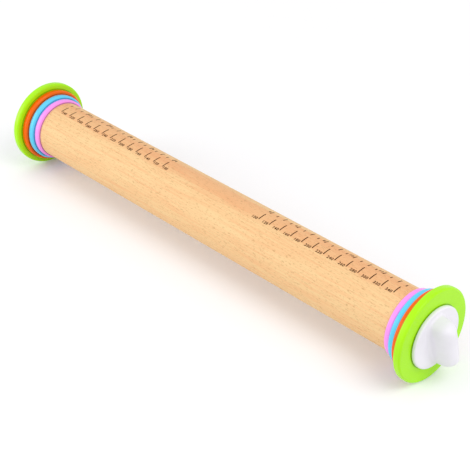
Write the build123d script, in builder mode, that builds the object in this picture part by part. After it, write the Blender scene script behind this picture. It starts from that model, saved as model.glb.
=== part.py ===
from build123d import *
import os

os.makedirs("parts", exist_ok=True)

# An adjustable rolling pin, in millimetres. The pin lies along X with its middle at the origin.
# Each end carries four spacer rings on a turned spigot, clamped by a knob that screws in.

# Roller
roller_diameter = 45.0
roller_face_length = 358.0
roller_edge_round = 0.6
shoulder_depth = 7.5
spigot_setback = 0.5
bore_tip_room = 2.0

# Spacer rings, from the wood outwards: how far each rim stands beyond the roller, and its thickness
pink_lift = 2.0
pink_thickness = 5.0
blue_lift = 4.0
blue_thickness = 5.0
orange_lift = 6.5
orange_thickness = 5.0
green_lift = 11.0
green_thickness = 5.5
ring_edge_round = 1.5
ring_bore_clearance = 0.3
ring_bore_chamfer = 0.4

# Bolt, its washer and lock nut, and the threaded insert in the roller
thread_diameter = 5.0
thread_clearance = 0.05
bolt_length = 16.0
bolt_head_height = 3.5
bolt_head_flats = 8.0
bolt_tip_chamfer = 0.7
hex_edge_chamfer = 0.4
hex_blank_room = 0.1
bolt_washer_diameter = 10.0
bolt_washer_thickness = 1.0
washer_bore_clearance = 0.2
lock_nut_height = 2.7
nut_room = 1.7
nut_end_room = 0.6
insert_diameter = 9.0
insert_length = 14.0
insert_groove_depth = 0.5
insert_groove_width = 1.0
insert_groove_count = 4

# Thrust washer between the knob and the outermost ring, centred on the lock nut
thrust_washer_thickness = 0.4
thrust_washer_setback = 2.0
thrust_washer_bore_clearance = 0.5

# Knob: a round base with an upright finger grip, and the angle at which the grip stands at rest
knob_diameter = 44.0
knob_height = 17.7
knob_base_thickness = 2.8
knob_rim_round = 1.3
knob_back_round = 0.6
knob_rest_angle = 15.0
grip_width = 16.0
grip_foot_setback = 3.0
grip_end_lean = 1.5
grip_crown = 1.0
grip_end_round = 9.2
grip_edge_round = 4.0
grip_root_round = 3.0
grip_root_share = 0.5
knob_wall = 2.0
pocket_width = 7.0
pocket_crest_room = 4.0
pocket_end_round = 5.0
plate_diameter = 37.0
plate_thickness = 1.2
plate_clearance = 0.1
plate_edge_chamfer = 0.3
socket_clearance = 0.1
socket_boss_wall = 2.4

# One shared length by which cutting shapes run past what they cut
overrun = 1.0

roller_radius = roller_diameter / 2
spigot_radius = roller_radius - shoulder_depth
thread_radius = thread_diameter / 2
knob_radius = knob_diameter / 2
plate_radius = plate_diameter / 2
bolt_washer_radius = bolt_washer_diameter / 2

rings = [
    ("pink_ring", pink_lift, pink_thickness),
    ("blue_ring", blue_lift, blue_thickness),
    ("orange_ring", orange_lift, orange_thickness),
    ("green_ring", green_lift, green_thickness),
]

# Stations along the axis, measured outwards from the middle of the pin
shoulder_x = roller_face_length / 2
ring_stack_end_x = shoulder_x + sum(thickness for name, lift, thickness in rings)
spigot_end_x = ring_stack_end_x - spigot_setback
knob_back_x = ring_stack_end_x + thrust_washer_thickness
plate_front_x = knob_back_x + plate_thickness
head_seat_x = plate_front_x + bolt_washer_thickness
bolt_tip_x = head_seat_x - bolt_length
nut_end_x = knob_back_x - lock_nut_height
insert_face_x = nut_end_x - nut_end_room
insert_end_x = insert_face_x - insert_length
bore_end_x = min(insert_end_x, bolt_tip_x) - bore_tip_room

# The bolt head and the lock nut share one spanner size
hex_flats_radius = bolt_head_flats / 2
hexagon = RegularPolygon(hex_flats_radius, 6, major_radius=False, mode=Mode.PRIVATE)
hex_corner_radius = hexagon.radius
hex_turn = 30
hex_blank_radius = hex_corner_radius + hex_blank_room
hex_blank_chamfer = hex_edge_chamfer + hex_blank_room
nut_recess_radius = hex_corner_radius + nut_room

# Grip section, measured from the back of the knob: half an ellipse on a small scoop at each side.
# A scoop takes at most its share of the grip's height.
grip_half_width = grip_width / 2
root_radius = min(grip_root_round, (knob_height - knob_base_thickness) * grip_root_share)
root_centre_width = grip_half_width + root_radius
root_top_height = knob_base_thickness + root_radius
pocket_height = knob_height - pocket_crest_room

# Grip side outline, and the hollow pockets at each side of the boss round the bolt head
grip_foot_half_length = knob_radius - grip_foot_setback
grip_top_half_length = grip_foot_half_length - grip_end_lean
boss_half_length = hex_corner_radius + socket_boss_wall


def station(side, distance, turn=0):
    """Plane across the pin at a distance from its middle, facing out of the end named by side."""
    x_dir = Vector(0, side, 0).rotate(Axis.X, side * turn)
    return Plane(origin=(side * distance, 0, 0), x_dir=x_dir, z_dir=(side, 0, 0))


def finish(part, name):
    """Label a finished piece and write its file."""
    part.label = name
    export_step(part, f"parts/{name}.step")


def outermost_circles(builder):
    """The circular edges of largest radius."""
    return builder.edges().filter_by(GeomType.CIRCLE).group_by(SortBy.RADIUS)[-1]


def innermost_circles(builder):
    """The circular edges of smallest radius."""
    return builder.edges().filter_by(GeomType.CIRCLE).group_by(SortBy.RADIUS)[0]


def make_ring(side, inner_x, lift, thickness):
    """Spacer ring with rounded rims and a bore that slides on the spigot."""
    with BuildPart() as ring:
        with BuildSketch(station(side, inner_x)):
            Circle(roller_radius + lift)
            Circle(spigot_radius + ring_bore_clearance, mode=Mode.SUBTRACT)
        extrude(amount=thickness)
        chamfer(innermost_circles(ring), ring_bore_chamfer)
        fillet(outermost_circles(ring), ring_edge_round)
    return ring.part


def make_insert(side):
    """Grooved brass insert glued into the end of the roller."""
    with BuildPart() as insert:
        with BuildSketch(station(side, insert_end_x)):
            Circle(insert_diameter / 2)
        extrude(amount=insert_length)
        for index in range(insert_groove_count):
            groove_x = insert_end_x + insert_length * (index + 1) / (insert_groove_count + 1)
            with BuildSketch(station(side, groove_x - insert_groove_width / 2)):
                Circle(insert_diameter / 2 + overrun)
                Circle(insert_diameter / 2 - insert_groove_depth, mode=Mode.SUBTRACT)
            extrude(amount=insert_groove_width, mode=Mode.SUBTRACT)
        with BuildSketch(station(side, insert_end_x)):
            Circle(thread_radius + thread_clearance)
        extrude(amount=insert_length, mode=Mode.SUBTRACT)
    return insert.part


def make_washer(side, inner_x, outer_radius, inner_radius, thickness):
    """Flat round washer."""
    with BuildPart() as washer:
        with BuildSketch(station(side, inner_x)):
            Circle(outer_radius)
            Circle(inner_radius, mode=Mode.SUBTRACT)
        extrude(amount=thickness)
    return washer.part


def make_bolt(side):
    """Hexagon bolt whose head sits in the knob."""
    with BuildPart() as bolt:
        with BuildSketch(station(side, head_seat_x)):
            Circle(hex_blank_radius)
        extrude(amount=bolt_head_height)
        chamfer(bolt.edges().group_by(Axis.X)[-1 if side > 0 else 0], hex_blank_chamfer)
        with BuildSketch(station(side, head_seat_x, knob_rest_angle)):
            RegularPolygon(hex_flats_radius, 6, major_radius=False, rotation=hex_turn)
        extrude(amount=bolt_head_height, mode=Mode.INTERSECT)
        with BuildSketch(station(side, bolt_tip_x)):
            Circle(thread_radius)
        extrude(amount=bolt_length)
        chamfer(bolt.edges().group_by(Axis.X)[0 if side > 0 else -1], bolt_tip_chamfer)
    return bolt.part


def make_nut(side):
    """Thin nut that clamps the bolt to the back plate."""
    with BuildPart() as nut:
        with BuildSketch(station(side, nut_end_x)):
            Circle(hex_blank_radius)
        extrude(amount=lock_nut_height)
        chamfer(outermost_circles(nut), hex_blank_chamfer)
        with BuildSketch(station(side, nut_end_x, knob_rest_angle)):
            RegularPolygon(hex_flats_radius, 6, major_radius=False, rotation=hex_turn)
            Circle(thread_radius + thread_clearance, mode=Mode.SUBTRACT)
        extrude(amount=lock_nut_height, mode=Mode.INTERSECT)
    return nut.part


def make_back_plate(side):
    """Plate that closes the back of the knob and carries the bolt."""
    with BuildPart() as plate:
        with BuildSketch(station(side, knob_back_x)):
            Circle(plate_radius)
            Circle(thread_radius + washer_bore_clearance, mode=Mode.SUBTRACT)
        extrude(amount=plate_thickness)
        chamfer(outermost_circles(plate), plate_edge_chamfer)
    return plate.part


def make_knob_shell(side):
    """Hollow knob: a round base with an upright finger grip between two scoops."""
    back = station(side, knob_back_x, knob_rest_angle)
    across = Plane(origin=back.origin, x_dir=back.x_dir, z_dir=-back.y_dir)
    along = Plane(origin=back.origin, x_dir=back.y_dir, z_dir=back.x_dir)
    with BuildPart() as shell:
        # Grip blank: a round dome that leans in towards its top
        with BuildSketch(along):
            with BuildLine():
                Polyline(
                    (0, 0),
                    (grip_foot_half_length, 0),
                    (grip_top_half_length, knob_height + grip_crown),
                    (0, knob_height + grip_crown),
                    close=True,
                )
            outline = make_face()
            fillet(outline.vertices().group_by(Axis.Y)[-1].sort_by(Axis.X)[-1], grip_end_round)
        revolve(axis=Axis(back.origin, back.z_dir))
        # Grip section: a broad crest that runs down its flanks into a scoop at each side
        with BuildSketch(across):
            with BuildLine():
                Line((-root_centre_width, 0), (root_centre_width, 0))
                Line((root_centre_width, 0), (root_centre_width, knob_base_thickness))
                CenterArc((root_centre_width, root_top_height), root_radius, 180, 90)
                EllipticalCenterArc(
                    (0, root_top_height),
                    grip_half_width,
                    knob_height - root_top_height,
                    start_angle=0,
                    arc_size=180,
                )
                CenterArc((-root_centre_width, root_top_height), root_radius, 270, 90)
                Line((-root_centre_width, knob_base_thickness), (-root_centre_width, 0))
            make_face()
        extrude(amount=knob_radius, both=True, mode=Mode.INTERSECT)
        end_edges = shell.edges().filter_by(GeomType.LINE, reverse=True).filter_by(
            lambda edge: back.to_local_coords(edge.center()).Z > knob_base_thickness
        )
        fillet(end_edges, grip_edge_round)
        # Base disc
        with BuildSketch(back):
            Circle(knob_radius)
        extrude(amount=knob_base_thickness)
        rims = outermost_circles(shell).sort_by(Axis(back.origin, back.z_dir))
        fillet(rims[-1], knob_rim_round)
        fillet(rims[0], knob_back_round)
        # Rebate for the back plate, room for the bolt's washer and a socket for its head
        with BuildSketch(back):
            Circle(plate_radius + plate_clearance)
        extrude(amount=plate_thickness, mode=Mode.SUBTRACT)
        with BuildSketch(back):
            Circle(bolt_washer_radius + socket_clearance)
        extrude(amount=plate_thickness + bolt_washer_thickness, mode=Mode.SUBTRACT)
        with BuildSketch(back):
            RegularPolygon(
                hex_flats_radius + socket_clearance, 6, major_radius=False, rotation=hex_turn
            )
        extrude(
            amount=head_seat_x + bolt_head_height + socket_clearance - knob_back_x,
            mode=Mode.SUBTRACT,
        )
        # Hollow pockets in the grip, beyond the socket's boss
        with BuildSketch(along):
            with BuildLine():
                Polyline(
                    (boss_half_length, 0),
                    (grip_foot_half_length - knob_wall, 0),
                    (grip_top_half_length - knob_wall, pocket_height),
                    (boss_half_length, pocket_height),
                    close=True,
                )
            pocket = make_face()
            fillet(pocket.vertices().group_by(Axis.Y)[-1].sort_by(Axis.X)[-1], pocket_end_round)
            mirror(about=Plane.YZ)
        extrude(amount=pocket_width / 2, both=True, mode=Mode.SUBTRACT)
    return shell.part


ends = [("left", -1), ("right", 1)]

# Beech roller with a spigot, a nut recess and an insert bore at each end
with BuildPart() as roller:
    with BuildSketch(Plane.YZ):
        Circle(roller_radius)
    extrude(amount=shoulder_x, both=True)
    fillet(outermost_circles(roller), roller_edge_round)
    for end_name, side in ends:
        with BuildSketch(station(side, shoulder_x)):
            Circle(spigot_radius)
        extrude(amount=spigot_end_x - shoulder_x)
        with BuildSketch(station(side, insert_face_x)):
            Circle(nut_recess_radius)
        extrude(amount=spigot_end_x - insert_face_x + overrun, mode=Mode.SUBTRACT)
        with BuildSketch(station(side, bore_end_x)):
            Circle(insert_diameter / 2)
        extrude(amount=insert_face_x - bore_end_x + overrun, mode=Mode.SUBTRACT)
finish(roller.part, "roller")

for end_name, side in ends:
    ring_x = shoulder_x
    for ring_name, lift, thickness in rings:
        finish(make_ring(side, ring_x, lift, thickness), f"{ring_name}_{end_name}")
        ring_x += thickness
    finish(make_insert(side), f"threaded_insert_{end_name}")
    thrust_washer = make_washer(
        side,
        ring_stack_end_x,
        knob_radius - thrust_washer_setback,
        hex_corner_radius + thrust_washer_bore_clearance,
        thrust_washer_thickness,
    )
    finish(thrust_washer, f"thrust_washer_{end_name}")
    finish(make_bolt(side), f"knob_bolt_{end_name}")
    bolt_washer = make_washer(
        side,
        plate_front_x,
        bolt_washer_radius,
        thread_radius + washer_bore_clearance,
        bolt_washer_thickness,
    )
    finish(bolt_washer, f"bolt_washer_{end_name}")
    finish(make_nut(side), f"lock_nut_{end_name}")
    finish(make_back_plate(side), f"knob_back_plate_{end_name}")
    finish(make_knob_shell(side), f"knob_shell_{end_name}")
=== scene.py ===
"""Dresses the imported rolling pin: turned beech with burnt scales, moulded rings, knobs and their screws."""

from __future__ import annotations

import functools
import logging
import math
from collections.abc import Mapping, Sequence
from dataclasses import dataclass, field
from enum import Enum

import bmesh
import bpy
import numpy as np
from mathutils import Euler, Matrix, Vector


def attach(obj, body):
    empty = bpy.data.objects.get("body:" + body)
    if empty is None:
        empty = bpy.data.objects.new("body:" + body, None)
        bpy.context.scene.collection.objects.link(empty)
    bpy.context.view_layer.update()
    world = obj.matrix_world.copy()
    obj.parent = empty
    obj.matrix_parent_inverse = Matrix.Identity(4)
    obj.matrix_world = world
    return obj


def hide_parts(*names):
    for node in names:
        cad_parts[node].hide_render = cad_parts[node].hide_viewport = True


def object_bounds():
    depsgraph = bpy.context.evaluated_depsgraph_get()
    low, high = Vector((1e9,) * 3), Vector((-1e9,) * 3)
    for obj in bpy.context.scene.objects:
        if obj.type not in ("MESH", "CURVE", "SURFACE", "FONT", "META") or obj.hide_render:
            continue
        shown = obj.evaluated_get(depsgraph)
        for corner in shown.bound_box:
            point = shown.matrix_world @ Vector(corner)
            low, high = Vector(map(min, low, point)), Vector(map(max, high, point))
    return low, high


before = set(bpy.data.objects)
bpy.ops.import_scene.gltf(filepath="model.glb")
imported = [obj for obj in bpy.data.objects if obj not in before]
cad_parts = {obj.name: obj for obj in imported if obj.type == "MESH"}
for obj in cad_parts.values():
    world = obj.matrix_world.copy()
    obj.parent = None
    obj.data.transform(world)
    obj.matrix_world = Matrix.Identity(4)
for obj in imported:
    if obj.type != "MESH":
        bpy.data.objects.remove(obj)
CAD_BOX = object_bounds()

MM = 0.001
INCH = 25.4 * MM
WELD = 0.0001 * MM
LEAST_WIDTH = WELD / 10
SHARP_ANGLE = math.radians(32)
log = logging.getLogger("rolling_pin")


class End(Enum):
    """The two ends of the pin, with the sign of their outward direction."""

    LEFT = -1
    RIGHT = 1

    @property
    def label(self) -> str:
        """The end's name, as the nodes carry it."""
        return self.name.lower()


class Closing(Enum):
    """How a skin is closed beyond its first and last loop."""

    JOINED = "the last loop joins the first"
    BOTH_CAPPED = "a fan fills each end loop"
    FIRST_CAPPED = "a fan fills the first loop, and the last one is a seam"


@dataclass(frozen=True)
class EndFrame:
    """The directions at one end: across, along, and outwards along the pin's axis.

    Args:
        end: Which end of the pin.
        turn: How far the knob there stands turned at rest, in radians.
    """

    end: End
    turn: float = 0.0

    def place(self, points: np.ndarray) -> np.ndarray:
        """Moves points from the end's own directions into the row frame.

        Args:
            points: Rows of (across, along, outwards), in metres.

        Returns:
            Rows of (x, y, z).
        """
        side = self.end.value
        across = (0.0, side * math.cos(self.turn), math.sin(self.turn))
        along = (0.0, -side * math.sin(self.turn), math.cos(self.turn))
        return points @ np.array((across, along, (side, 0.0, 0.0)))


@dataclass
class Skin:
    """A closed skin of quads over loops of points that follow one another.

    Args:
        directions: The end whose own directions the points are in.
        angles: The angle about the axis of each point of a circle.
        loops: The loops so far, each with as many points.
    """

    directions: EndFrame
    angles: np.ndarray
    loops: list[np.ndarray] = field(default_factory=list)

    def add(self, across: np.ndarray, along: np.ndarray, outwards: float) -> None:
        """Adds a loop of points across and along the end, at one distance from the pin's middle."""
        self.loops.append(np.column_stack((across, along, np.full_like(across, outwards))))

    def add_circle(self, radius: float | np.ndarray, outwards: float) -> None:
        """Adds a loop whose radius is given, for all its points or for each."""
        self.add(radius * np.cos(self.angles), radius * np.sin(self.angles), outwards)

    def add_outline(self, outline: Sequence[tuple[float, float]]) -> None:
        """Adds a circle for each pair of distance from the middle and distance from the axis."""
        for outwards, radius in outline:
            self.add_circle(radius, outwards)

    def build(self, name: str, closing: Closing) -> bpy.types.Object:
        """Makes the object, welded, with outward faces and smooth rounds.

        Args:
            name: The piece's name.
            closing: How the skin is closed beyond its end loops.

        Returns:
            The new object.
        """
        count = len(self.loops[0])
        points = np.vstack(self.loops)
        index = np.arange(len(points)).reshape(-1, count)
        if closing is Closing.JOINED:
            index = np.vstack((index, index[:1]))
        lower, upper = index[:-1], index[1:]
        quads = np.stack((lower, np.roll(lower, -1, 1), np.roll(upper, -1, 1), upper), axis=-1)
        faces = quads.reshape(-1, 4).tolist()
        capped = {Closing.BOTH_CAPPED: (0, -1), Closing.FIRST_CAPPED: (0,), Closing.JOINED: ()}[closing]
        for row in capped:
            ring = index[row]
            faces += [[int(a), int(b), len(points)] for a, b in zip(ring, np.roll(ring, -1))]
            points = np.vstack((points, points[ring].mean(axis=0)))
        mesh = bpy.data.meshes.new(name)
        mesh.from_pydata(self.directions.place(points).tolist(), [], faces)
        return finished_object(name, mesh)


def finished_object(name: str, mesh: bpy.types.Mesh) -> bpy.types.Object:
    """Welds a mesh, turns its faces outwards, smooths its rounds and links it.

    Args:
        name: The object's name.
        mesh: The mesh, in the row frame.

    Returns:
        The new object.
    """
    work = bmesh.new()
    work.from_mesh(mesh)
    bmesh.ops.remove_doubles(work, verts=work.verts, dist=WELD)
    bmesh.ops.recalc_face_normals(work, faces=work.faces)
    work.to_mesh(mesh)
    work.free()
    mesh.shade_smooth()
    mesh.set_sharp_from_angle(angle=SHARP_ANGLE)
    made = bpy.data.objects.new(f"{name}_finished", mesh)
    bpy.context.scene.collection.objects.link(made)
    return made


@dataclass(frozen=True)
class Corner:
    """A corner of a turned outline, in metres.

    Args:
        outwards: Its distance from the middle of the pin.
        radius: Its distance from the axis.
        rounding: The radius that rounds it, or zero for a sharp one.
    """

    outwards: float
    radius: float
    rounding: float = 0.0


ARC_STEPS = 9
HOLD_SHARE = 0.15


def rounded(corners: Sequence[Corner], closed: bool) -> list[tuple[float, float]]:
    """Rounds an outline's corners, with a holding point past each end of an arc.

    Args:
        corners: The corners in order.
        closed: Whether the outline goes back to its first corner.

    Returns:
        Pairs of distance from the middle and distance from the axis.
    """
    points: list[tuple[float, float]] = []
    for index, corner in enumerate(corners):
        here = Vector((corner.outwards, corner.radius))
        at_end = not closed and index in (0, len(corners) - 1)
        if corner.rounding == 0 or at_end:
            points.append(tuple(here))
            continue
        before, after = corners[index - 1], corners[(index + 1) % len(corners)]
        back = (Vector((before.outwards, before.radius)) - here).normalized()
        onward = (Vector((after.outwards, after.radius)) - here).normalized()
        half = back.angle(onward) / 2
        reach = corner.rounding / math.tan(half)
        centre = here + (back + onward).normalized() * corner.rounding / math.sin(half)
        start, stop = here + back * reach - centre, here + onward * reach - centre
        hold = corner.rounding * HOLD_SHARE
        points.append(tuple(here + back * (reach + hold)))
        for step in range(ARC_STEPS + 1):
            spoke = start.slerp(stop, step / ARC_STEPS) * corner.rounding
            points.append(tuple(centre + spoke))
        points.append(tuple(here + onward * (reach + hold)))
    return points


def turned(name: str, end: End, outline: Sequence[tuple[float, float]], segments: int) -> bpy.types.Object:
    """Turns a closed outline about the pin's axis.

    Args:
        name: The piece's name.
        end: The end that the outline's distances are for.
        outline: Pairs of distance from the middle and distance from the axis.
        segments: How many faces go round.

    Returns:
        The new object.
    """
    skin = Skin(EndFrame(end), evenly_round(segments))
    skin.add_outline(outline)
    return skin.build(name, Closing.JOINED)


def evenly_round(count: int) -> np.ndarray:
    """Angles that divide a full turn evenly."""
    return np.linspace(0, 2 * math.pi, count, endpoint=False)


@dataclass(frozen=True)
class NodeSizes:
    """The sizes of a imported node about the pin's axis, in metres.

    Args:
        near: The distance of its inner face from the middle of the pin.
        far: The distance of its outer face.
        inner: Its smallest radius.
        outer: Its largest radius.
    """

    near: float
    far: float
    inner: float
    outer: float

    @property
    def middle(self) -> float:
        """The distance halfway between its two faces."""
        return (self.near + self.far) / 2

    @property
    def flats(self) -> float:
        """The distance from the axis to a flat, where the node is a hexagon."""
        return self.outer * math.cos(math.pi / 6)

    @classmethod
    @functools.cache
    def of(cls, node: str, near: float = 0.0, far: float = math.inf) -> NodeSizes:
        """Measures a node, or the stretch of it between two distances from the middle.

        Args:
            node: The node's name.
            near: Where the stretch starts.
            far: Where it ends.

        Returns:
            Its sizes.
        """
        corners = np.array([vertex.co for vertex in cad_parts[node].data.vertices])
        distance = np.abs(corners[:, 0])
        radius = np.hypot(corners[:, 1], corners[:, 2])
        kept = (distance >= near) & (distance <= far)
        return cls(*(float(v) for v in (
            distance[kept].min(), distance[kept].max(), radius[kept].min(), radius[kept].max()
        )))


class Wire:
    """A node's output socket. Sums on it add Math nodes to its graph."""

    def __init__(self, graph: Graph, socket: bpy.types.NodeSocket) -> None:
        """Keeps the socket and the graph that it is in."""
        self.graph = graph
        self.socket = socket

    def _math(self, operation: str, first: Wire | float, second: Wire | float) -> Wire:
        """Adds one Math node on two values."""
        return self.graph.add("ShaderNodeMath", {"operation": operation}, {0: first, 1: second})

    def __add__(self, other: Wire | float) -> Wire:
        """The sum."""
        return self._math("ADD", self, other)

    def __radd__(self, other: float) -> Wire:
        """The sum, with the number first."""
        return self._math("ADD", other, self)

    def __sub__(self, other: Wire | float) -> Wire:
        """The difference."""
        return self._math("SUBTRACT", self, other)

    def __rsub__(self, other: float) -> Wire:
        """The difference, with the number first."""
        return self._math("SUBTRACT", other, self)

    def __mul__(self, other: Wire | float) -> Wire:
        """The product."""
        return self._math("MULTIPLY", self, other)

    def __rmul__(self, other: float) -> Wire:
        """The product, with the number first."""
        return self._math("MULTIPLY", other, self)

    def larger(self, other: Wire | float) -> Wire:
        """The larger of the two."""
        return self._math("MAXIMUM", self, other)

    def ramp(self, low: float, high: float) -> Wire:
        """A smooth step from 0 at one value to 1 at another.

        Args:
            low: The value that gives 0.
            high: The value that gives 1.

        Returns:
            The step.
        """
        settings = {"interpolation_type": "SMOOTHSTEP"}
        inputs = {"Value": self, "From Min": low, "From Max": high}
        return self.graph.add("ShaderNodeMapRange", settings, inputs)


Colour = tuple[float, float, float, float]
WHITE: Colour = (1, 1, 1, 1)


@dataclass(frozen=True)
class Layer:
    """One layer of noise in a finish.

    Args:
        stretch: How many features go to a millimetre, for each axis.
        detail: How many finer layers it has.
        roughness: How strong those are.
        seed: Sets one noise apart from another.
        step: The values of the noise at which a step on it starts and ends.
        tint: How much of a second colour a full step mixes in.
    """

    stretch: tuple[float, float, float]
    detail: float
    roughness: float
    seed: float
    step: tuple[float, float] = (0.0, 1.0)
    tint: float = 1.0


class Graph:
    """The node graph of one material or world."""

    def __init__(self, owner: bpy.types.Material | bpy.types.World) -> None:
        """Empties the graph of a new material or world.

        Args:
            owner: The material or world.
        """
        owner.use_nodes = True
        self.owner = owner
        self.tree = owner.node_tree
        self.tree.nodes.clear()

    @classmethod
    def of_material(cls, name: str) -> Graph:
        """The empty graph of a new material."""
        return cls(bpy.data.materials.new(name))

    def add(
        self,
        kind: str,
        settings: Mapping[str, object] | None = None,
        inputs: Mapping[str | int, object] | None = None,
        output: str | int | None = 0,
    ) -> Wire | None:
        """Adds a node of any type.

        Args:
            kind: The node's type.
            settings: Its own properties.
            inputs: Values or wires, by socket name or number.
            output: The name or number of the socket to return, or None for a node that ends the graph.

        Returns:
            The wire out of the node, if it has one.
        """
        node = self.tree.nodes.new(kind)
        for key, value in (settings or {}).items():
            setattr(node, key, value)
        for key, value in (inputs or {}).items():
            socket = pick(node.inputs, key)
            if isinstance(value, Wire):
                self.tree.links.new(value.socket, socket)
            else:
                socket.default_value = value
        return None if output is None else Wire(self, pick(node.outputs, output))

    def mix(self, factor: Wire | float, first: Wire | Colour, second: Wire | Colour) -> Wire:
        """The colour between two, where a factor of 0 gives the first one."""
        inputs = {"Factor": factor, "A": first, "B": second}
        return self.add("ShaderNodeMix", {"data_type": "RGBA"}, inputs, "Result")

    def place_in_mm(self, stretch: Sequence[float]) -> Wire:
        """The place on the object in millimetres, with each axis scaled.

        Args:
            stretch: The scale of each axis.

        Returns:
            The scaled place.
        """
        here = self.add("ShaderNodeTexCoord", output="Object")
        scale = tuple(value / MM for value in stretch)
        return self.add("ShaderNodeVectorMath", {"operation": "MULTIPLY"}, {0: here, 1: scale})

    def height_in_mm(self) -> Wire:
        """The height over the pin's axis, in millimetres."""
        return self.add("ShaderNodeSeparateXYZ", inputs={0: self.place_in_mm((1, 1, 1))}, output="Z")

    def distance_in_mm(self) -> Wire:
        """The distance from the middle of the pin along its axis, in millimetres."""
        along = self.add("ShaderNodeSeparateXYZ", inputs={0: self.place_in_mm((1, 1, 1))}, output="X")
        return self.add("ShaderNodeMath", {"operation": "ABSOLUTE"}, {0: along})

    def reach_in_mm(self, stretch: Sequence[float]) -> Wire:
        """The distance from the origin in millimetres, where an axis scaled by 0 doesn't count."""
        place = self.place_in_mm(stretch)
        return self.add("ShaderNodeVectorMath", {"operation": "LENGTH"}, {0: place}, "Value")

    def seen(self) -> Wire:
        """Tells what the camera sees, straight or in metal or glass, from other light.

        Returns:
            1 for what it sees, and otherwise 0.
        """
        rays = ("Is Camera Ray", "Is Glossy Ray", "Is Transmission Ray")
        camera, glossy, through = (self.add("ShaderNodeLightPath", output=ray) for ray in rays)
        return camera.larger(glossy).larger(through)

    def noise(self, layer: Layer) -> Wire:
        """The noise of a layer.

        Args:
            layer: The layer.

        Returns:
            Values about 0.5.
        """
        inputs = {"Vector": self.place_in_mm(layer.stretch), "W": layer.seed, "Scale": 1.0}
        inputs |= {"Detail": layer.detail, "Roughness": layer.roughness}
        return self.add("ShaderNodeTexNoise", {"noise_dimensions": "4D"}, inputs)

    def step(self, layer: Layer) -> Wire:
        """The noise of a layer as a smooth step from 0 to 1."""
        return self.noise(layer).ramp(*layer.step)

    def bump(self, height: Wire, depth: float) -> Wire:
        """The normal of a height from 0 to 1, which stands for a real depth in metres."""
        return self.add("ShaderNodeBump", inputs={"Height": height, "Strength": 1.0, "Distance": depth})

    def surface(self, inputs: Mapping[str | int, object]) -> bpy.types.Material:
        """Ends the graph in a Principled shader.

        Args:
            inputs: The shader's values and wires.

        Returns:
            The material.
        """
        shader = self.add("ShaderNodeBsdfPrincipled", inputs=inputs)
        self.add("ShaderNodeOutputMaterial", inputs={"Surface": shader}, output=None)
        return self.owner


def pick(sockets: bpy.types.bpy_prop_collection, key: str | int) -> bpy.types.NodeSocket:
    """Picks a socket.

    Args:
        sockets: The inputs or the outputs of a node.
        key: Its number, or the name of one in use.

    Returns:
        The socket.
    """
    if isinstance(key, int):
        return sockets[key]
    return next(socket for socket in sockets if socket.name == key and socket.enabled)


@dataclass(frozen=True)
class TurnedBeech:
    """Fine-sanded, unvarnished beech: pale straw, with short brown flecks along the grain, and painted shade
    in amber along the top of the roller.

    Args:
        straw: The main colour.
        amber: The colour of the denser bands, and of the painted shade along the top.
        fleck: The colour of the flecks.
        heart_height: The height at which the painted shade along the top starts, in millimetres over the
            axis.
        heart_blur: Half the width of the painted shade's edge, in millimetres.
        heart_wobble: How far that edge strays in all, in millimetres.
        heart_share: The share of amber in the painted shade.
        heart_bands: What a band there adds to it.
        roughness: The roughness of the plain wood.
        roughness_gain: What a streak adds to it.
        specular: The strength of its reflections.
        pore_depth: The depth of the grain in metres.
        fleck_relief: A fleck's share of that depth, and a pore has the rest.
        bands: The broad bands of the year rings.
        streaks: The narrow streaks in them.
        flecks: The short dark flecks.
        pores: The fine pores.
        wobble: How the painted shade's edge strays.
    """

    straw: Colour = (0.85, 0.59, 0.295, 1)
    amber: Colour = (0.81, 0.41, 0.195, 1)
    fleck: Colour = (0.42, 0.22, 0.08, 1)
    heart_height: float = 21.3
    heart_blur: float = 0.7
    heart_wobble: float = 2.4
    heart_share: float = 0.5
    heart_bands: float = 0.35
    roughness: float = 0.55
    roughness_gain: float = 0.12
    specular: float = 0.15
    pore_depth: float = 0.02 * MM
    fleck_relief: float = 0.6
    bands: Layer = Layer((0.012, 0.16, 0.16), 3, 0.6, 1.0, (0.35, 0.68), 0.18)
    streaks: Layer = Layer((0.02, 0.75, 0.75), 4, 0.65, 2.0, (0.42, 0.62), 0.44)
    flecks: Layer = Layer((0.36, 1.5, 1.5), 2, 0.65, 3.0, (0.54, 0.68), 0.48)
    pores: Layer = Layer((0.9, 5.0, 5.0), 2, 0.6, 4.0, (0.55, 0.75), 0.2)
    wobble: Layer = Layer((0.03, 0.3, 0.3), 3, 0.6, 11.0)

    def material(self) -> bpy.types.Material:
        """Builds the finish.

        Returns:
            The material.
        """
        graph = Graph.of_material("turned_beech")
        bands = graph.step(self.bands)
        streaks = graph.step(self.streaks)
        flecks = graph.step(self.flecks)
        pores = graph.step(self.pores)
        # Painted shade: amber along the top of the roller, above a wavering height over the axis.
        wobble = graph.noise(self.wobble) * self.heart_wobble - self.heart_wobble / 2
        edge = graph.height_in_mm() + wobble
        top_shade = edge.ramp(self.heart_height - self.heart_blur, self.heart_height + self.heart_blur)
        banded = bands * self.bands.tint + streaks * self.streaks.tint
        wood = graph.mix(banded, self.straw, self.amber)
        wood = graph.mix(top_shade * (self.heart_share + bands * self.heart_bands), wood, self.amber)
        wood = graph.mix(flecks * self.flecks.tint + pores * self.pores.tint, wood, self.fleck)
        relief = 1 - (flecks * self.fleck_relief + pores * (1 - self.fleck_relief))
        return graph.surface({
            "Base Color": wood,
            "Roughness": self.roughness + streaks * self.roughness_gain,
            "Normal": graph.bump(relief, self.pore_depth),
            "Specular IOR Level": self.specular,
        })


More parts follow.
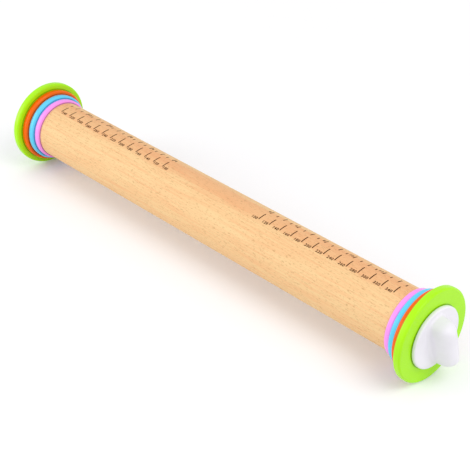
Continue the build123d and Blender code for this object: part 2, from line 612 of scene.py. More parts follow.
@dataclass(frozen=True)
class BurntMark:
    """Wood burnt dark brown by the marking tool.

    Args:
        char: The colour at the middle of a mark.
        scorch: The colour where the burn is lighter.
        roughness: The least roughness.
        roughness_gain: What the lighter patches add to it.
        specular: The strength of its reflections.
        depth: The depth of the burn's grain in metres.
        patches: The lighter patches.
    """

    char: Colour = (0.045, 0.013, 0.001, 1)
    scorch: Colour = (0.12, 0.042, 0.006, 1)
    roughness: float = 0.75
    roughness_gain: float = 0.15
    specular: float = 0.08
    depth: float = 0.03 * MM
    patches: Layer = Layer((1.2, 2.4, 2.4), 3, 0.6, 5.0, (0.4, 0.7))

    def material(self) -> bpy.types.Material:
        """Builds the finish.

        Returns:
            The material.
        """
        graph = Graph.of_material("burnt_mark")
        patches = graph.noise(self.patches)
        return graph.surface({
            "Base Color": graph.mix(patches.ramp(*self.patches.step), self.char, self.scorch),
            "Roughness": self.roughness + patches * self.roughness_gain,
            "Normal": graph.bump(patches, self.depth),
            "Specular IOR Level": self.specular,
        })


@dataclass(frozen=True)
class Rub:
    """A painted shade: a dark line on one face of a ring, just outside a neighbour's rim, where the shade
    falls.

    Args:
        radius: The neighbour's radius in metres.
        outer_face: Whether it is on the ring's outer face.
    """

    radius: float
    outer_face: bool = False


@dataclass(frozen=True)
class MouldedPlastic:
    """Smooth moulded plastic with a satin gloss, with painted shade along the rims of its neighbours.

    Args:
        name: The material's name.
        colour: Its colour.
        rubs: The lines of painted shade along its neighbours' rims.
        middle: The distance in metres from the middle of the pin to the middle of its thickness.
        gloss: Its least roughness.
        gloss_loss: What a scuff adds to it.
        specular: The strength of its reflections.
        scuff_depth: The depth of its scuffs in metres.
        shade_share: The lightness of its darker flow marks, as a share of the colour's.
        rubbed_share: The lightness of a line of painted shade, likewise.
        rub_share: How much of the painted shade's darkness shows.
        rub_width: The width of a line of painted shade, in millimetres.
        rub_core: The share of that width over which the painted shade doesn't fade.
        rub_blur: The width of the painted shade's sharper edge, in millimetres.
        side_blur: Half the width of the change from face to face, in millimetres.
        flow: The flow marks.
        scuffs: The scuffs.
    """

    name: str
    colour: Colour
    rubs: tuple[Rub, ...] = ()
    middle: float = 0.0
    gloss: float = 0.24
    gloss_loss: float = 0.08
    specular: float = 0.22
    scuff_depth: float = 0.004 * MM
    shade_share: float = 0.9
    rubbed_share: float = 0.25
    rub_share: float = 0.7
    rub_width: float = 0.8
    rub_core: float = 0.3
    rub_blur: float = 0.15
    side_blur: float = 0.01
    flow: Layer = Layer((0.05, 0.05, 0.05), 3, 0.5, 6.0, (0.35, 0.75), 0.5)
    scuffs: Layer = Layer((1.4, 1.4, 1.4), 4, 0.7, 7.0, (0.5, 0.8))

    def material(self) -> bpy.types.Material:
        """Builds the finish.

        Returns:
            The material.
        """
        graph = Graph.of_material(self.name)
        scuffs = graph.noise(self.scuffs)
        flow = graph.step(self.flow) * self.flow.tint
        colour = graph.mix(flow, self.colour, self.darkened(self.shade_share))
        # Painted shade: each neighbour's rim darkens a line on the face beside it.
        for contact in self.rubs:
            line = self.rub_line(graph, contact) * self.rub_share
            colour = graph.mix(line, colour, self.darkened(self.rubbed_share))
        return graph.surface({
            "Base Color": colour,
            "Roughness": self.gloss + scuffs.ramp(*self.scuffs.step) * self.gloss_loss,
            "Normal": graph.bump(scuffs, self.scuff_depth),
            "Specular IOR Level": self.specular,
        })

    def darkened(self, share: float) -> Colour:
        """The colour at a share of its lightness."""
        return tuple(value * share for value in self.colour[:3]) + (1,)

    def rub_line(self, graph: Graph, contact: Rub) -> Wire:
        """A soft line of painted shade just outside a neighbour's rim.

        Args:
            graph: The material's graph.
            contact: The line of painted shade.

        Returns:
            The line's strength, from 0 to 1.
        """
        # Painted shade: strongest at the rim, fading over its width, only on the face towards that neighbour.
        beyond = graph.reach_in_mm((0, 1, 1)) - contact.radius / MM
        fade = beyond.ramp(self.rub_width * self.rub_core, self.rub_width)
        line = beyond.ramp(-self.rub_blur, 0.0) * (1 - fade)
        middle = self.middle / MM
        outside = graph.distance_in_mm().ramp(middle - self.side_blur, middle + self.side_blur)
        return line * (outside if contact.outer_face else 1 - outside)


@dataclass(frozen=True)
class PressedFibre:
    """Dark grey pressed fibre, matt and slightly mottled.

    Args:
        dark: The colour between the fibres.
        light: The colour of the fibres.
        roughness: The least roughness.
        roughness_gain: What the fibres add to it.
        depth: The depth between the fibres in metres.
        fibres: The fibres.
    """

    dark: Colour = (0.06, 0.07, 0.05, 1)
    light: Colour = (0.16, 0.17, 0.14, 1)
    roughness: float = 0.8
    roughness_gain: float = 0.1
    depth: float = 0.03 * MM
    fibres: Layer = Layer((2.0, 3.0, 7.0), 4, 0.7, 8.0, (0.35, 0.7))

    def material(self) -> bpy.types.Material:
        """Builds the finish.

        Returns:
            The material.
        """
        graph = Graph.of_material("pressed_fibre")
        fibres = graph.noise(self.fibres)
        return graph.surface({
            "Base Color": graph.mix(fibres.ramp(*self.fibres.step), self.dark, self.light),
            "Roughness": self.roughness + fibres * self.roughness_gain,
            "Normal": graph.bump(fibres, self.depth),
        })


@dataclass(frozen=True)
class TurnedMetal:
    """Metal with fine turning marks and a few duller patches.

    Args:
        name: The material's name.
        bright: The colour of clean metal.
        dull: The colour of the duller patches.
        roughness: The roughness of clean metal.
        roughness_gain: What a duller patch adds to it.
        rough_step: The values of the patches at which it starts and is full.
        line_depth: The depth of the turning marks in metres.
        patches: The duller patches.
        lines: The turning marks.
    """

    name: str
    bright: Colour
    dull: Colour
    roughness: float
    roughness_gain: float = 0.15
    rough_step: tuple[float, float] = (0.4, 0.8)
    line_depth: float = 0.004 * MM
    patches: Layer = Layer((0.3, 0.3, 0.3), 4, 0.6, 9.0, (0.4, 0.7))
    lines: Layer = Layer((14.0, 0.8, 0.8), 2, 0.5, 10.0)

    def material(self) -> bpy.types.Material:
        """Builds the finish.

        Returns:
            The material.
        """
        graph = Graph.of_material(self.name)
        patches = graph.noise(self.patches)
        return graph.surface({
            "Base Color": graph.mix(patches.ramp(*self.patches.step), self.bright, self.dull),
            "Metallic": 1.0,
            "Roughness": self.roughness + patches.ramp(*self.rough_step) * self.roughness_gain,
            "Normal": graph.bump(graph.noise(self.lines), self.line_depth),
        })


RINGS = ("pink", "blue", "orange", "green")


class Slot(Enum):
    """The record's material slots."""

    BEECH = "beech"
    PINK = "pink_plastic"
    BLUE = "blue_plastic"
    ORANGE = "orange_plastic"
    GREEN = "green_plastic"
    WHITE = "white_plastic"
    FIBRE = "grey_fibre"
    STEEL = "zinc_steel"
    BRASS = "brass"


class Paintbox:
    """The finishes of the pin, one material for each slot, and the burnt marks."""

    def __init__(self) -> None:
        """Makes every material once."""
        # Painted shade beside each ring's neighbours: the wood, the next smaller ring and, on the green
        # ring's outer face, the knob.
        wood = Rub(NodeSizes.of("roller").outer)
        knob = Rub(NodeSizes.of("knob_shell_right").outer, outer_face=True)
        pink, blue, orange, green = (NodeSizes.of(f"{name}_ring_right") for name in RINGS)
        rings = (
            (Slot.PINK, (0.94, 0.32, 0.87, 1), pink, (wood,)),
            (Slot.BLUE, (0.12, 0.65, 0.93, 1), blue, (Rub(pink.outer),)),
            (Slot.ORANGE, (0.93, 0.135, 0.0, 1), orange, (Rub(blue.outer),)),
            (Slot.GREEN, (0.41, 0.87, 0.006, 1), green, (Rub(orange.outer), knob)),
        )
        white = MouldedPlastic(Slot.WHITE.value, (0.85, 0.83, 0.88, 1), gloss=0.3)
        steel = TurnedMetal(Slot.STEEL.value, (0.66, 0.68, 0.72, 1), (0.48, 0.49, 0.52, 1), 0.25)
        brass = TurnedMetal(Slot.BRASS.value, (0.80, 0.60, 0.25, 1), (0.55, 0.38, 0.15, 1), 0.22)
        self.burnt = BurntMark().material()
        self.slots = {
            Slot.BEECH: TurnedBeech().material(),
            Slot.WHITE: white.material(),
            Slot.FIBRE: PressedFibre().material(),
            Slot.STEEL: steel.material(),
            Slot.BRASS: brass.material(),
        }
        for slot, colour, size, rubs in rings:
            self.slots[slot] = MouldedPlastic(slot.value, colour, rubs, size.middle).material()

    def dress(self, piece: bpy.types.Object, body: str, slot: Slot, *nodes: str) -> None:
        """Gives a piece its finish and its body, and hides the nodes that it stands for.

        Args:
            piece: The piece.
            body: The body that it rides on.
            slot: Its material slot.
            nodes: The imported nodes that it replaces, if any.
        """
        piece.data.materials.clear()
        piece.data.materials.append(self.slots[slot])
        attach(piece, body)
        if nodes:
            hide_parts(*nodes)
        log.info("%s rides on %s, %d faces", piece.name, body, len(piece.data.polygons))


@dataclass
class EndAssembly:
    """What stands at one end of the pin.

    Args:
        end: Which end of the pin.
        paint: The finishes.
    """

    end: End
    paint: Paintbox

    def node(self, kind: str) -> str:
        """The name of this end's node of a kind."""
        return f"{kind}_{self.end.label}"

    def size(self, kind: str) -> NodeSizes:
        """The sizes of this end's node of a kind."""
        return NodeSizes.of(self.node(kind))

    def turn_ring(self, kind: str, corners: Sequence[Corner], segments: int) -> bpy.types.Object:
        """Turns a piece that replaces this end's node of a kind."""
        return turned(self.node(kind), self.end, rounded(corners, True), segments)


@dataclass(frozen=True)
class Thread:
    """A metric screw thread, right-handed about each end's outward direction.

    Args:
        pitch: The distance from crest to crest.
        depth: The height of the ridge.
        step: The length between loops of points.
        crest_share: The flat width of a crest, as a share of the pitch.
        root_share: The flat width of a root, likewise.
    """

    pitch: float = 0.8 * MM
    depth: float = 0.49 * MM
    step: float = 0.1 * MM
    crest_share: float = 0.125
    root_share: float = 0.25

    def groove(self, outwards: float, angles: np.ndarray) -> np.ndarray:
        """How deep the groove is at each angle of one loop, from 0 at a crest to the full depth.

        Args:
            outwards: The loop's distance from the middle of the pin.
            angles: Each point's angle about the axis.

        Returns:
            The depths, in metres.
        """
        phase = np.mod(outwards / self.pitch - angles / (2 * math.pi), 1.0)
        from_crest = np.minimum(phase, 1 - phase)
        flank = (1 - self.crest_share - self.root_share) / 2
        return self.depth * np.clip((from_crest - self.crest_share / 2) / flank, 0, 1)

    def stations(self, start: float, stop: float) -> np.ndarray:
        """The distances of the loops that a threaded stretch needs."""
        return np.linspace(start, stop, max(2, round(abs(stop - start) / self.step) + 1))


@dataclass(frozen=True)
class Hexagon:
    """A spanner hexagon with its corners bevelled off at a cone.

    Args:
        flats: The distance from the middle to a flat.
        top_share: The radius of the flat end of the cone, as a share of that distance.
        cone: The angle of the bevel from the end face.
        bevel_steps: How many steps the bevel has.
    """

    flats: float
    top_share: float = 0.95
    cone: float = math.radians(30)
    bevel_steps: int = 6

    def reach(self, angles: np.ndarray) -> np.ndarray:
        """The distance from the middle to the side at each angle."""
        sixth = math.pi / 3
        return self.flats / np.cos(np.mod(angles + sixth / 2, sixth) - sixth / 2)

    def bevelled(self, angles: np.ndarray, below: float) -> np.ndarray:
        """The distance from the middle at a depth below a bevelled end face."""
        return np.minimum(self.reach(angles), self.flats * self.top_share + below / math.tan(self.cone))

    def bevel_depths(self) -> list[float]:
        """Works out where the bevel needs loops.

        Returns:
            Depths below an end face, from the face down.
        """
        corner = self.flats / math.cos(math.pi / 6)
        last = (corner - self.flats * self.top_share) * math.tan(self.cone)
        return [last * step / self.bevel_steps for step in range(self.bevel_steps + 1)]


@dataclass
class KnobScrew(EndAssembly):
    """The screw of one knob: bolt, washer, lock nut and the insert in the wood.

    Args:
        turn: How far the knob is turned at rest.
    """

    turn: float
    thread: Thread = Thread()
    segments: int = 72
    tip_bevel: float = 0.7 * MM
    edge_round: float = 0.12 * MM
    groove_depth: float = 0.5 * MM
    groove_width: float = 1.0 * MM
    groove_count: int = 4

    def build(self) -> None:
        """Makes and dresses the four pieces."""
        knob = self.node("knob")
        self.paint.dress(self.bolt(), knob, Slot.STEEL, self.node("knob_bolt"))
        self.paint.dress(self.washer(), knob, Slot.STEEL, self.node("bolt_washer"))
        self.paint.dress(self.nut(), knob, Slot.STEEL, self.node("lock_nut"))
        self.paint.dress(self.insert(), "roller", Slot.BRASS, self.node("threaded_insert"))

    def skin(self) -> Skin:
        """An empty skin that stands turned with the knob."""
        return Skin(EndFrame(self.end, self.turn), evenly_round(self.segments))

    def washer(self) -> bpy.types.Object:
        """The washer under the bolt's head, with its edges rounded."""
        corners = flat_ring(self.size("bolt_washer"), self.edge_round, self.edge_round)
        return self.turn_ring("bolt_washer", corners, self.segments)

    def bolt(self) -> bpy.types.Object:
        """The bolt, threaded from its tip to its hexagon head.

        Returns:
            The bolt.
        """
        size = self.size("knob_bolt")
        seat = self.size("bolt_washer").far
        major = NodeSizes.of(self.node("knob_bolt"), size.near, seat - self.thread.pitch).outer
        head = Hexagon(self.size("lock_nut").flats)
        skin = self.skin()
        for outwards in self.thread.stations(size.near, seat):
            bevel = major - self.tip_bevel + (outwards - size.near)
            threaded = major - self.thread.groove(outwards, skin.angles)
            skin.add_circle(np.minimum(threaded, bevel), outwards)
        skin.add_circle(head.reach(skin.angles), seat)
        for depth in reversed(head.bevel_depths()):
            skin.add_circle(head.bevelled(skin.angles, depth), size.far - depth)
        return skin.build(self.node("knob_bolt"), Closing.BOTH_CAPPED)

    def nut(self) -> bpy.types.Object:
        """The lock nut, bevelled at both faces and threaded inside.

        Returns:
            The nut.
        """
        size = self.size("lock_nut")
        sides = Hexagon(size.flats)
        skin = self.skin()
        self.add_inner_thread(skin, size)
        for depth in sides.bevel_depths():
            skin.add_circle(sides.bevelled(skin.angles, depth), size.far - depth)
        for depth in reversed(sides.bevel_depths()):
            skin.add_circle(sides.bevelled(skin.angles, depth), size.near + depth)
        return skin.build(self.node("lock_nut"), Closing.JOINED)

    def insert(self) -> bpy.types.Object:
        """The insert, grooved outside for the glue and threaded inside.

        Returns:
            The insert.
        """
        size = self.size("threaded_insert")
        floor = size.outer - self.groove_depth
        skin = Skin(EndFrame(self.end), evenly_round(self.segments))
        self.add_inner_thread(skin, size)
        skin.add_circle(size.outer, size.far)
        for index in reversed(range(self.groove_count)):
            middle = size.near + (size.far - size.near) * (index + 1) / (self.groove_count + 1)
            high, low = middle + self.groove_width / 2, middle - self.groove_width / 2
            skin.add_outline([(high, size.outer), (high, floor), (low, floor), (low, size.outer)])
        skin.add_circle(size.outer, size.near)
        return skin.build(self.node("threaded_insert"), Closing.JOINED)

    def add_inner_thread(self, skin: Skin, size: NodeSizes) -> None:
        """Adds a threaded bore from end to end: cut deep where the bolt's thread is shallow.

        Args:
            skin: The piece's skin so far.
            size: The piece's sizes.
        """
        for outwards in self.thread.stations(size.near, size.far):
            cut = self.thread.depth - self.thread.groove(outwards, skin.angles)
            skin.add_circle(size.inner + cut, outwards)


def flat_ring(size: NodeSizes, rim: float, bore: float = 0.0) -> list[Corner]:
    """The outline of a flat ring.

    Args:
        size: The ring's sizes.
        rim: The radius that rounds both edges of its rim.
        bore: The radius that rounds both edges of its bore.

    Returns:
        Its four corners.
    """
    return [
        Corner(size.near, size.inner, bore),
        Corner(size.near, size.outer, rim),
        Corner(size.far, size.outer, rim),
        Corner(size.far, size.inner, bore),
    ]


@dataclass
class SpacerRings(EndAssembly):
    """The four spacer rings of one end, from the wood outwards, and the thrust washer before the knob."""

    segments: int = 192
    rim_round: float = 1.5 * MM
    bore_bevel: float = 0.4 * MM
    washer_edge: float = 0.1 * MM

    def build(self) -> None:
        """Makes and dresses the five pieces."""
        for name in RINGS:
            corners = self.ring(self.size(f"{name}_ring"))
            self.stack(f"{name}_ring", corners, Slot(f"{name}_plastic"))
        corners = flat_ring(self.size("thrust_washer"), self.washer_edge, self.washer_edge)
        self.stack("thrust_washer", corners, Slot.FIBRE)

    def stack(self, kind: str, corners: Sequence[Corner], slot: Slot) -> None:
        """Turns and dresses a piece that is a body of its own."""
        piece = self.turn_ring(kind, corners, self.segments)
        self.paint.dress(piece, self.node(kind), slot, self.node(kind))

    def ring(self, size: NodeSizes) -> list[Corner]:
        """The outline of one spacer ring, with a rounded rim and a bevelled bore.

        Args:
            size: The ring's sizes.

        Returns:
            Its corners.
        """
        mouth = size.inner + self.bore_bevel
        return [
            Corner(size.near + self.bore_bevel, size.inner),
            Corner(size.near, mouth),
            Corner(size.near, size.outer, self.rim_round),
            Corner(size.far, size.outer, self.rim_round),
            Corner(size.far, mouth),
            Corner(size.far - self.bore_bevel, size.inner),
        ]


@dataclass
class GripKnob(EndAssembly):
    """A round-based knob with an upright loaf-shaped grip on small scoops, and its back plate.

    Args:
        turn: How far the knob is turned at rest.
    """

    turn: float
    segments: int = 192
    base_thickness: float = 2.8 * MM
    rim_round: float = 1.3 * MM
    back_round: float = 0.6 * MM
    foot_setback: float = 3.0 * MM
    end_lean: float = 1.5 * MM
    crown: float = 1.0 * MM
    end_round: float = 9.2 * MM
    half_width: float = 8.0 * MM
    root_round: float = 3.0 * MM
    foot_round: float = 1.6 * MM
    corner_power: float = 5.0
    plate_room: float = 0.1 * MM
    plate_edge: float = 0.3 * MM
    socket_room: float = 0.1 * MM
    root_steps: int = 10
    crest_steps: int = 28

    def build(self) -> None:
        """Makes and dresses the shell and its back plate."""
        corners = flat_ring(self.size("knob_back_plate"), self.plate_edge)
        plate = self.turn_ring("knob_back_plate", corners, self.segments)
        self.paint.dress(plate, self.node("knob"), Slot.WHITE, self.node("knob_back_plate"))
        self.paint.dress(self.shell(), self.node("knob"), Slot.WHITE, self.node("knob_shell"))

    def half_length(self, height: float) -> float:
        """Half the grip's length at a height above the knob's back.

        Args:
            height: The height.

        Returns:
            The distance from the axis to the grip's end.
        """
        size = self.size("knob_shell")
        top = size.far - size.near + self.crown
        foot = size.outer - self.foot_setback
        lean = math.atan2(self.end_lean, top)
        centre_height = top - self.end_round
        centre = foot - centre_height * math.tan(lean) - self.end_round / math.cos(lean)
        if height < centre_height + self.end_round * math.sin(lean):
            return foot - height * math.tan(lean)
        return centre + math.sqrt(self.end_round**2 - (height - centre_height) ** 2)

    def contour(self, half_width: float, half_length: float) -> tuple[np.ndarray, np.ndarray]:
        """A level line round the grip: a long strip with its ends rounded off.

        Args:
            half_width: Half its width across the grip.
            half_length: Half its length along the grip.

        Returns:
            Each point's place across and along.
        """
        power = self.corner_power
        turns = evenly_round(self.segments)
        across, along = half_width * np.cos(turns), half_length * np.sin(turns)
        ellipse = np.hypot(across, along)
        strip = np.abs(np.cos(turns)) / ellipse
        reach = (half_length**-power + strip**power) ** (-1 / power)
        return reach * across / ellipse, reach * along / ellipse

    def shell(self) -> bpy.types.Object:
        """The shell, from the socket in its back, round its rim and up to its crest.

        Returns:
            The shell.
        """
        foot_length = self.half_length(self.base_thickness) + self.foot_round
        across, along = self.contour(self.section()[0][0], foot_length)
        skin = Skin(EndFrame(self.end, self.turn), np.arctan2(along, across))
        self.add_socket(skin)
        self.add_rim(skin)
        self.add_grip(skin)
        return skin.build(self.node("knob_shell"), Closing.FIRST_CAPPED)

    def section(self) -> list[tuple[float, float]]:
        """One side of the grip's section: a small scoop at the root under a quarter of an ellipse.

        Returns:
            Pairs of half the width and the height over the knob's back, from the foot up.
        """
        size = self.size("knob_shell")
        root_top = self.base_thickness + self.root_round
        levels: list[tuple[float, float]] = []
        for step in range(self.root_steps + 1):
            angle = math.pi / 2 * step / self.root_steps
            width = self.half_width + self.root_round * (1 - math.sin(angle))
            levels.append((width, root_top - self.root_round * math.cos(angle)))
        for step in range(1, self.crest_steps + 1):
            angle = math.pi / 2 * step / self.crest_steps
            width = max(self.half_width * math.cos(angle), LEAST_WIDTH)
            levels.append((width, root_top + (size.far - size.near - root_top) * math.sin(angle)))
        return levels

    def add_socket(self, skin: Skin) -> None:
        """Adds the bolt's socket, the washer's pocket and the rebate for the back plate.

        Args:
            skin: The shell's skin so far.
        """
        head, washer, plate = (self.size(kind) for kind in ("knob_bolt", "bolt_washer", "knob_back_plate"))
        socket = Hexagon(self.size("lock_nut").flats + self.socket_room).reach(skin.angles)
        pocket = washer.outer + self.socket_room
        skin.add_circle(socket, head.far + self.socket_room)
        skin.add_circle(socket, washer.far)
        skin.add_circle(pocket, washer.far)
        skin.add_circle(pocket, plate.far)
        skin.add_circle(plate.outer + self.plate_room, plate.far)

    def add_rim(self, skin: Skin) -> None:
        """Adds the back face and the rounded rim of the base.

        Args:
            skin: The shell's skin so far.
        """
        size = self.size("knob_shell")
        front = size.near + self.base_thickness
        corners = [
            Corner(size.near, self.size("knob_back_plate").outer + self.plate_room),
            Corner(size.near, size.outer, self.back_round),
            Corner(front, size.outer, self.rim_round),
            Corner(front, size.outer - self.rim_round * (1 + 2 * HOLD_SHARE)),
        ]
        skin.add_outline(rounded(corners, False))

    def add_grip(self, skin: Skin) -> None:
        """Adds the scoops, the flanks and the crest of the grip.

        Args:
            skin: The shell's skin so far.
        """
        near = self.size("knob_shell").near
        for width, height in self.section():
            rise = max(0.0, height - self.base_thickness)
            above = max(0.0, self.foot_round - rise)
            flare = self.foot_round - math.sqrt(self.foot_round**2 - above**2)
            skin.add(*self.contour(width, self.half_length(height) + flare), near + height)


@dataclass
class Roller:
    """The turned beech roller, with its burnt scales.

    Args:
        paint: The finishes.
    """

    paint: Paintbox
    segments: int = 256
    edge_round: float = 0.6 * MM
    break_edge: float = 0.3 * MM
    body_steps: int = 60

    def build(self) -> None:
        """Makes and dresses the roller and its four scales."""
        self.paint.dress(self.wood(), "roller", Slot.BEECH, "roller")
        for end in End:
            BurntScale(end, self.paint, NodeSizes.of("roller").outer).build()

    def wood(self) -> bpy.types.Object:
        """The roller, from the bore in its left end to the bore in its right end.

        Returns:
            The roller.
        """
        ring = NodeSizes.of("pink_ring_right")
        insert = NodeSizes.of("threaded_insert_right")
        whole = NodeSizes.of("roller")
        recess = NodeSizes.of("roller", insert.far - self.break_edge, insert.far + self.break_edge)
        spigot = NodeSizes.of("roller", ring.far, whole.far)
        floor = NodeSizes.of("roller", ring.near + self.edge_round, insert.near).far
        corners = [
            Corner(floor, insert.outer),
            Corner(insert.far, insert.outer),
            Corner(insert.far, recess.outer),
            Corner(whole.far, recess.outer, self.break_edge),
            Corner(whole.far, spigot.outer, self.break_edge),
            Corner(ring.near, spigot.outer),
            Corner(ring.near, whole.outer, self.edge_round),
            Corner(0.0, whole.outer),
        ]
        log.info("roller radius %.2f mm, spigot %.2f mm", whole.outer / MM, spigot.outer / MM)
        half = rounded(corners, False)[:-1]
        body_start = half[-1][0]
        skin = Skin(EndFrame(End.RIGHT), evenly_round(self.segments))
        skin.add_outline(half)
        for step in range(1, self.body_steps):
            skin.add_circle(whole.outer, body_start * (1 - 2 * step / self.body_steps))
        skin.add_outline([(-outwards, radius) for outwards, radius in reversed(half)])
        return skin.build("beech_roller", Closing.BOTH_CAPPED)


@dataclass
class BurntScale(EndAssembly):
    """The burnt centimetre and inch scales of one half of the roller.

    A mark stands at half the width that its number gives, so that the dough's width is read at both ends.
    The first and last marks and the steps are in millimetres and inches from the middle of the pin.

    Args:
        radius: The roller's radius.
    """

    radius: float
    proud: float = 0.02 * MM
    sunk: float = 0.15 * MM
    stroke: float = 0.8 * MM
    chord: float = 0.5 * MM
    label_gap: float = 0.8 * MM
    digit_weight: float = 0.03
    digit_spacing: float = 1.12
    digit_steps: int = 4
    metric_first: int = 50
    metric_last: int = 170
    metric_step: int = 10
    metric_start: float = math.radians(74.6)
    metric_stop: float = math.radians(92.75)
    metric_height: float = 2.45 * MM
    inch_first: float = 2.0
    inch_last: float = 6.75
    inch_step: float = 0.25
    inch_label_step: int = 4
    inch_start: float = math.radians(101.0)
    inch_whole: float = 4.6 * MM
    inch_half: float = 2.6 * MM
    inch_height: float = 2.6 * MM

    def build(self) -> None:
        """Makes and dresses the two scales."""
        for name, burn in (("metric_scale", self.metric), ("inch_scale", self.inches)):
            work = bmesh.new()
            burn(work)
            mesh = bpy.data.meshes.new(self.node(name))
            work.to_mesh(mesh)
            work.free()
            piece = finished_object(mesh.name, mesh)
            self.paint.dress(piece, "roller", Slot.BEECH)
            piece.data.materials[0] = self.paint.burnt

    def metric(self, work: bmesh.types.BMesh) -> None:
        """Burns a line every 10 mm with the total width beside it.

        Args:
            work: The mesh so far.
        """
        for distance in range(self.metric_first, self.metric_last + 1, self.metric_step):
            self.line(work, distance * MM, self.metric_start, self.metric_stop)
            self.label(work, str(2 * distance), distance * MM, self.metric_start, self.metric_height)

    def inches(self, work: bmesh.types.BMesh) -> None:
        """Burns a line every half inch of width, with a number at each even inch.

        Args:
            work: The mesh so far.
        """
        for index in range(round((self.inch_last - self.inch_first) / self.inch_step) + 1):
            distance = self.inch_first + index * self.inch_step
            length = self.inch_half if index % 2 else self.inch_whole
            self.line(work, distance * INCH, self.inch_start, self.inch_start + length / self.radius)
            if index % self.inch_label_step == 0:
                start = self.inch_start + self.inch_whole / 2 / self.radius
                self.label(work, str(round(2 * distance)), distance * INCH, start, self.inch_height)

    def line(self, work: bmesh.types.BMesh, distance: float, start: float, stop: float) -> None:
        """Adds one straight burnt line round the roller.

        Args:
            work: The mesh so far.
            distance: Its distance from the middle of the pin.
            start: The angle at which it starts.
            stop: The angle at which it stops.
        """
        middle = self.end.value * distance
        count = max(2, math.ceil((stop - start) * self.radius / self.chord))
        loops: list[list[bmesh.types.BMVert]] = []
        for index in range(count + 1):
            angle = start + (stop - start) * index / count
            corners = (
                (middle - self.stroke / 2, -self.sunk),
                (middle + self.stroke / 2, -self.sunk),
                (middle + self.stroke / 2, self.proud),
                (middle - self.stroke / 2, self.proud),
            )
            loops.append([work.verts.new(self.wrapped(x, angle, lift)) for x, lift in corners])
        for lower, upper in zip(loops, loops[1:]):
            for index in range(len(lower)):
                work.faces.new((lower[index], lower[index - 1], upper[index - 1], upper[index]))
        work.faces.new(loops[0])
        work.faces.new(reversed(loops[-1]))

    def wrapped(self, x: float, angle: float, lift: float) -> Vector:
        """A point at a height over the roller, whose angle runs from the front up over the top."""
        reach = self.radius + lift
        return Vector((x, -reach * math.cos(angle), reach * math.sin(angle)))

    def label(
        self, work: bmesh.types.BMesh, text: str, distance: float, start: float, height: float
    ) -> None:
        """Adds a number beside a line, on the side of the pin's middle.

        Args:
            work: The mesh so far.
            text: The number.
            distance: The line's distance from the middle of the pin.
            start: The angle at the middle of the number's height.
            height: The height of the digits.
        """
        flat = self.flat_number(text, height)
        width = max(vertex.co.x for vertex in flat.verts)
        if self.end is End.RIGHT:
            first = distance - self.stroke / 2 - self.label_gap - width
        else:
            first = -distance + self.stroke / 2 + self.label_gap
        for index in range(1, math.ceil(height / self.chord)):
            cut = Vector((0, index * self.chord, 0))
            geometry = flat.verts[:] + flat.edges[:] + flat.faces[:]
            bmesh.ops.bisect_plane(flat, geom=geometry, plane_co=cut, plane_no=(0, 1, 0))
        for vertex in flat.verts:
            across = start + (vertex.co.y - height / 2) / self.radius
            vertex.co = self.wrapped(first + vertex.co.x, across, vertex.co.z - self.sunk)
        held = bpy.data.meshes.new("number")
        flat.to_mesh(held)
        flat.free()
        work.from_mesh(held)
        bpy.data.meshes.remove(held)

    def flat_number(self, text: str, height: float) -> bmesh.types.BMesh:
        """A number as a flat solid, with its first digit's foot at the origin.

        Args:
            text: The digits.
            height: The height of the digits.

        Returns:
            The solid, from 0 to the thickness of a mark in Z.
        """
        curve = bpy.data.curves.new("number", "FONT")
        curve.body = text
        curve.extrude = 1.0
        curve.offset = self.digit_weight
        curve.space_character = self.digit_spacing
        curve.resolution_u = self.digit_steps
        writer = bpy.data.objects.new("number", curve)
        mesh = bpy.data.meshes.new_from_object(writer)
        solid = bmesh.new()
        solid.from_mesh(mesh)
        bpy.data.objects.remove(writer)
        bpy.data.curves.remove(curve)
        bpy.data.meshes.remove(mesh)
        low = Vector([min(vertex.co[axis] for vertex in solid.verts) for axis in range(3)])
        high = Vector([max(vertex.co[axis] for vertex in solid.verts) for axis in range(3)])
        scale = height / (high.y - low.y)
        depth_scale = (self.proud + self.sunk) / (high.z - low.z)
        for vertex in solid.verts:
            moved = vertex.co - low
            vertex.co = Vector((moved.x * scale, moved.y * scale, moved.z * depth_scale))
        return solid


@dataclass(frozen=True)
class Lamp:
    """A square lamp that points at the pin.

    Args:
        name: The lamp's name.
        place: Where it hangs.
        size: The length of its side.
        power: Its power in watts.
        colour: Its colour.
    """

    name: str
    place: tuple[float, float, float]
    size: float
    power: float
    colour: tuple[float, float, float]

    def hang(self) -> None:
        """Makes the lamp."""
        data = bpy.data.lights.new(self.name, "AREA")
        data.size = self.size
        data.energy = self.power
        data.color = self.colour
        lamp = bpy.data.objects.new(self.name, data)
        lamp.location = self.place
        lamp.rotation_euler = (-Vector(self.place)).to_track_quat("-Z", "Y").to_euler()
        bpy.context.scene.collection.objects.link(lamp)


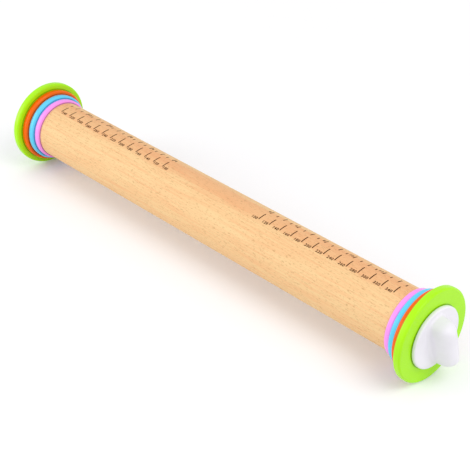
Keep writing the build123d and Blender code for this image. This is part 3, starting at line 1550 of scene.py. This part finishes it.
@dataclass
class Studio:
    """A white floor and world, soft lamps and the camera.

    The floor's glow is for the camera and for reflections alone, and grows with the distance from the pin.

    Args:
        floor_height: The height of the floor.
    """

    floor_height: float
    floor_size: float = 8.0
    floor_colour: Colour = (0.86, 0.86, 0.87, 1)
    near_floor: float = 0.3
    far_floor: float = 1.3
    near_glow: float = 0.11
    far_glow: float = 0.35
    lamps: tuple[Lamp, ...] = (
        Lamp("right", (1.03, 0.0, 1.23), 0.9, 8.0, (1.0, 0.99, 1.0)),
        Lamp("front_left", (-1.09, -1.09, 0.45), 1.0, 9.8, (1.0, 0.99, 0.99)),
    )
    world_colour: Colour = (0.99, 0.99, 1.0, 1)
    world_light: float = 0.8
    camera_azimuth: float = math.radians(45.89)
    camera_elevation: float = math.radians(33.12)
    camera_place: tuple[float, float, float] = (0.57052, -0.53318, 0.49176)
    lens: float = 97.94
    sensor: float = 36.0

    def build(self) -> None:
        """Makes the floor, the lamps, the world and the camera."""
        self.add_floor()
        for lamp in self.lamps:
            lamp.hang()
        self.add_world()
        self.add_camera()
        bpy.context.scene.view_settings.view_transform = "Standard"

    def add_floor(self) -> None:
        """Lays a white floor that looks white to the camera and in reflections."""
        mesh = bpy.data.meshes.new("floor")
        half = self.floor_size / 2
        corners = [(-half, -half), (half, -half), (half, half), (-half, half)]
        mesh.from_pydata([(x, y, self.floor_height) for x, y in corners], [], [(0, 1, 2, 3)])
        floor = bpy.data.objects.new("floor", mesh)
        bpy.context.scene.collection.objects.link(floor)
        graph = Graph.of_material("white_floor")
        paint = graph.add("ShaderNodeBsdfDiffuse", inputs={"Color": self.floor_colour})
        away = graph.reach_in_mm((1, 1, 0)).ramp(self.near_floor / MM, self.far_floor / MM)
        near_share = self.near_glow / self.far_glow
        share = graph.seen() * (near_share + away * (1 - near_share))
        black = graph.add("ShaderNodeEmission", inputs={"Strength": 0.0})
        glow = graph.add("ShaderNodeEmission", inputs={"Color": WHITE, "Strength": self.far_glow})
        glow = graph.add("ShaderNodeMixShader", inputs={0: share, 1: black, 2: glow})
        both = graph.add("ShaderNodeAddShader", inputs={0: paint, 1: glow})
        graph.add("ShaderNodeOutputMaterial", inputs={"Surface": both}, output=None)
        mesh.materials.append(graph.owner)

    def add_world(self) -> None:
        """Makes a world that lights softly and looks white."""
        world = bpy.data.worlds.new("studio")
        bpy.context.scene.world = world
        graph = Graph(world)
        inputs = {"Color": self.world_colour, "Strength": self.world_light}
        light = graph.add("ShaderNodeBackground", inputs=inputs)
        white = graph.add("ShaderNodeBackground", inputs={"Color": WHITE, "Strength": 1.0})
        mixed = graph.add("ShaderNodeMixShader", inputs={0: graph.seen(), 1: light, 2: white})
        graph.add("ShaderNodeOutputWorld", inputs={"Surface": mixed}, output=None)

    def add_camera(self) -> None:
        """Sets the camera at the photograph's viewpoint."""
        data = bpy.data.cameras.new("camera")
        data.lens = self.lens
        data.sensor_width = self.sensor
        camera = bpy.data.objects.new("camera", data)
        turn = Euler((math.pi / 2 - self.camera_elevation, 0, self.camera_azimuth)).to_matrix()
        camera.matrix_world = Matrix.Translation(self.camera_place) @ turn.to_4x4()
        bpy.context.scene.collection.objects.link(camera)
        bpy.context.scene.camera = camera


KNOB_TURN = math.radians(15)


def main() -> None:
    """Builds the pin's sub-assemblies in order, then the studio."""
    logging.basicConfig(level=logging.INFO, format="%(name)s: %(message)s")
    paint = Paintbox()
    Roller(paint).build()
    for end in End:
        SpacerRings(end, paint).build()
        KnobScrew(end, paint, KNOB_TURN).build()
        GripKnob(end, paint, KNOB_TURN).build()
    Studio(CAD_BOX[0].z).build()


if __name__ == "__main__":
    main()
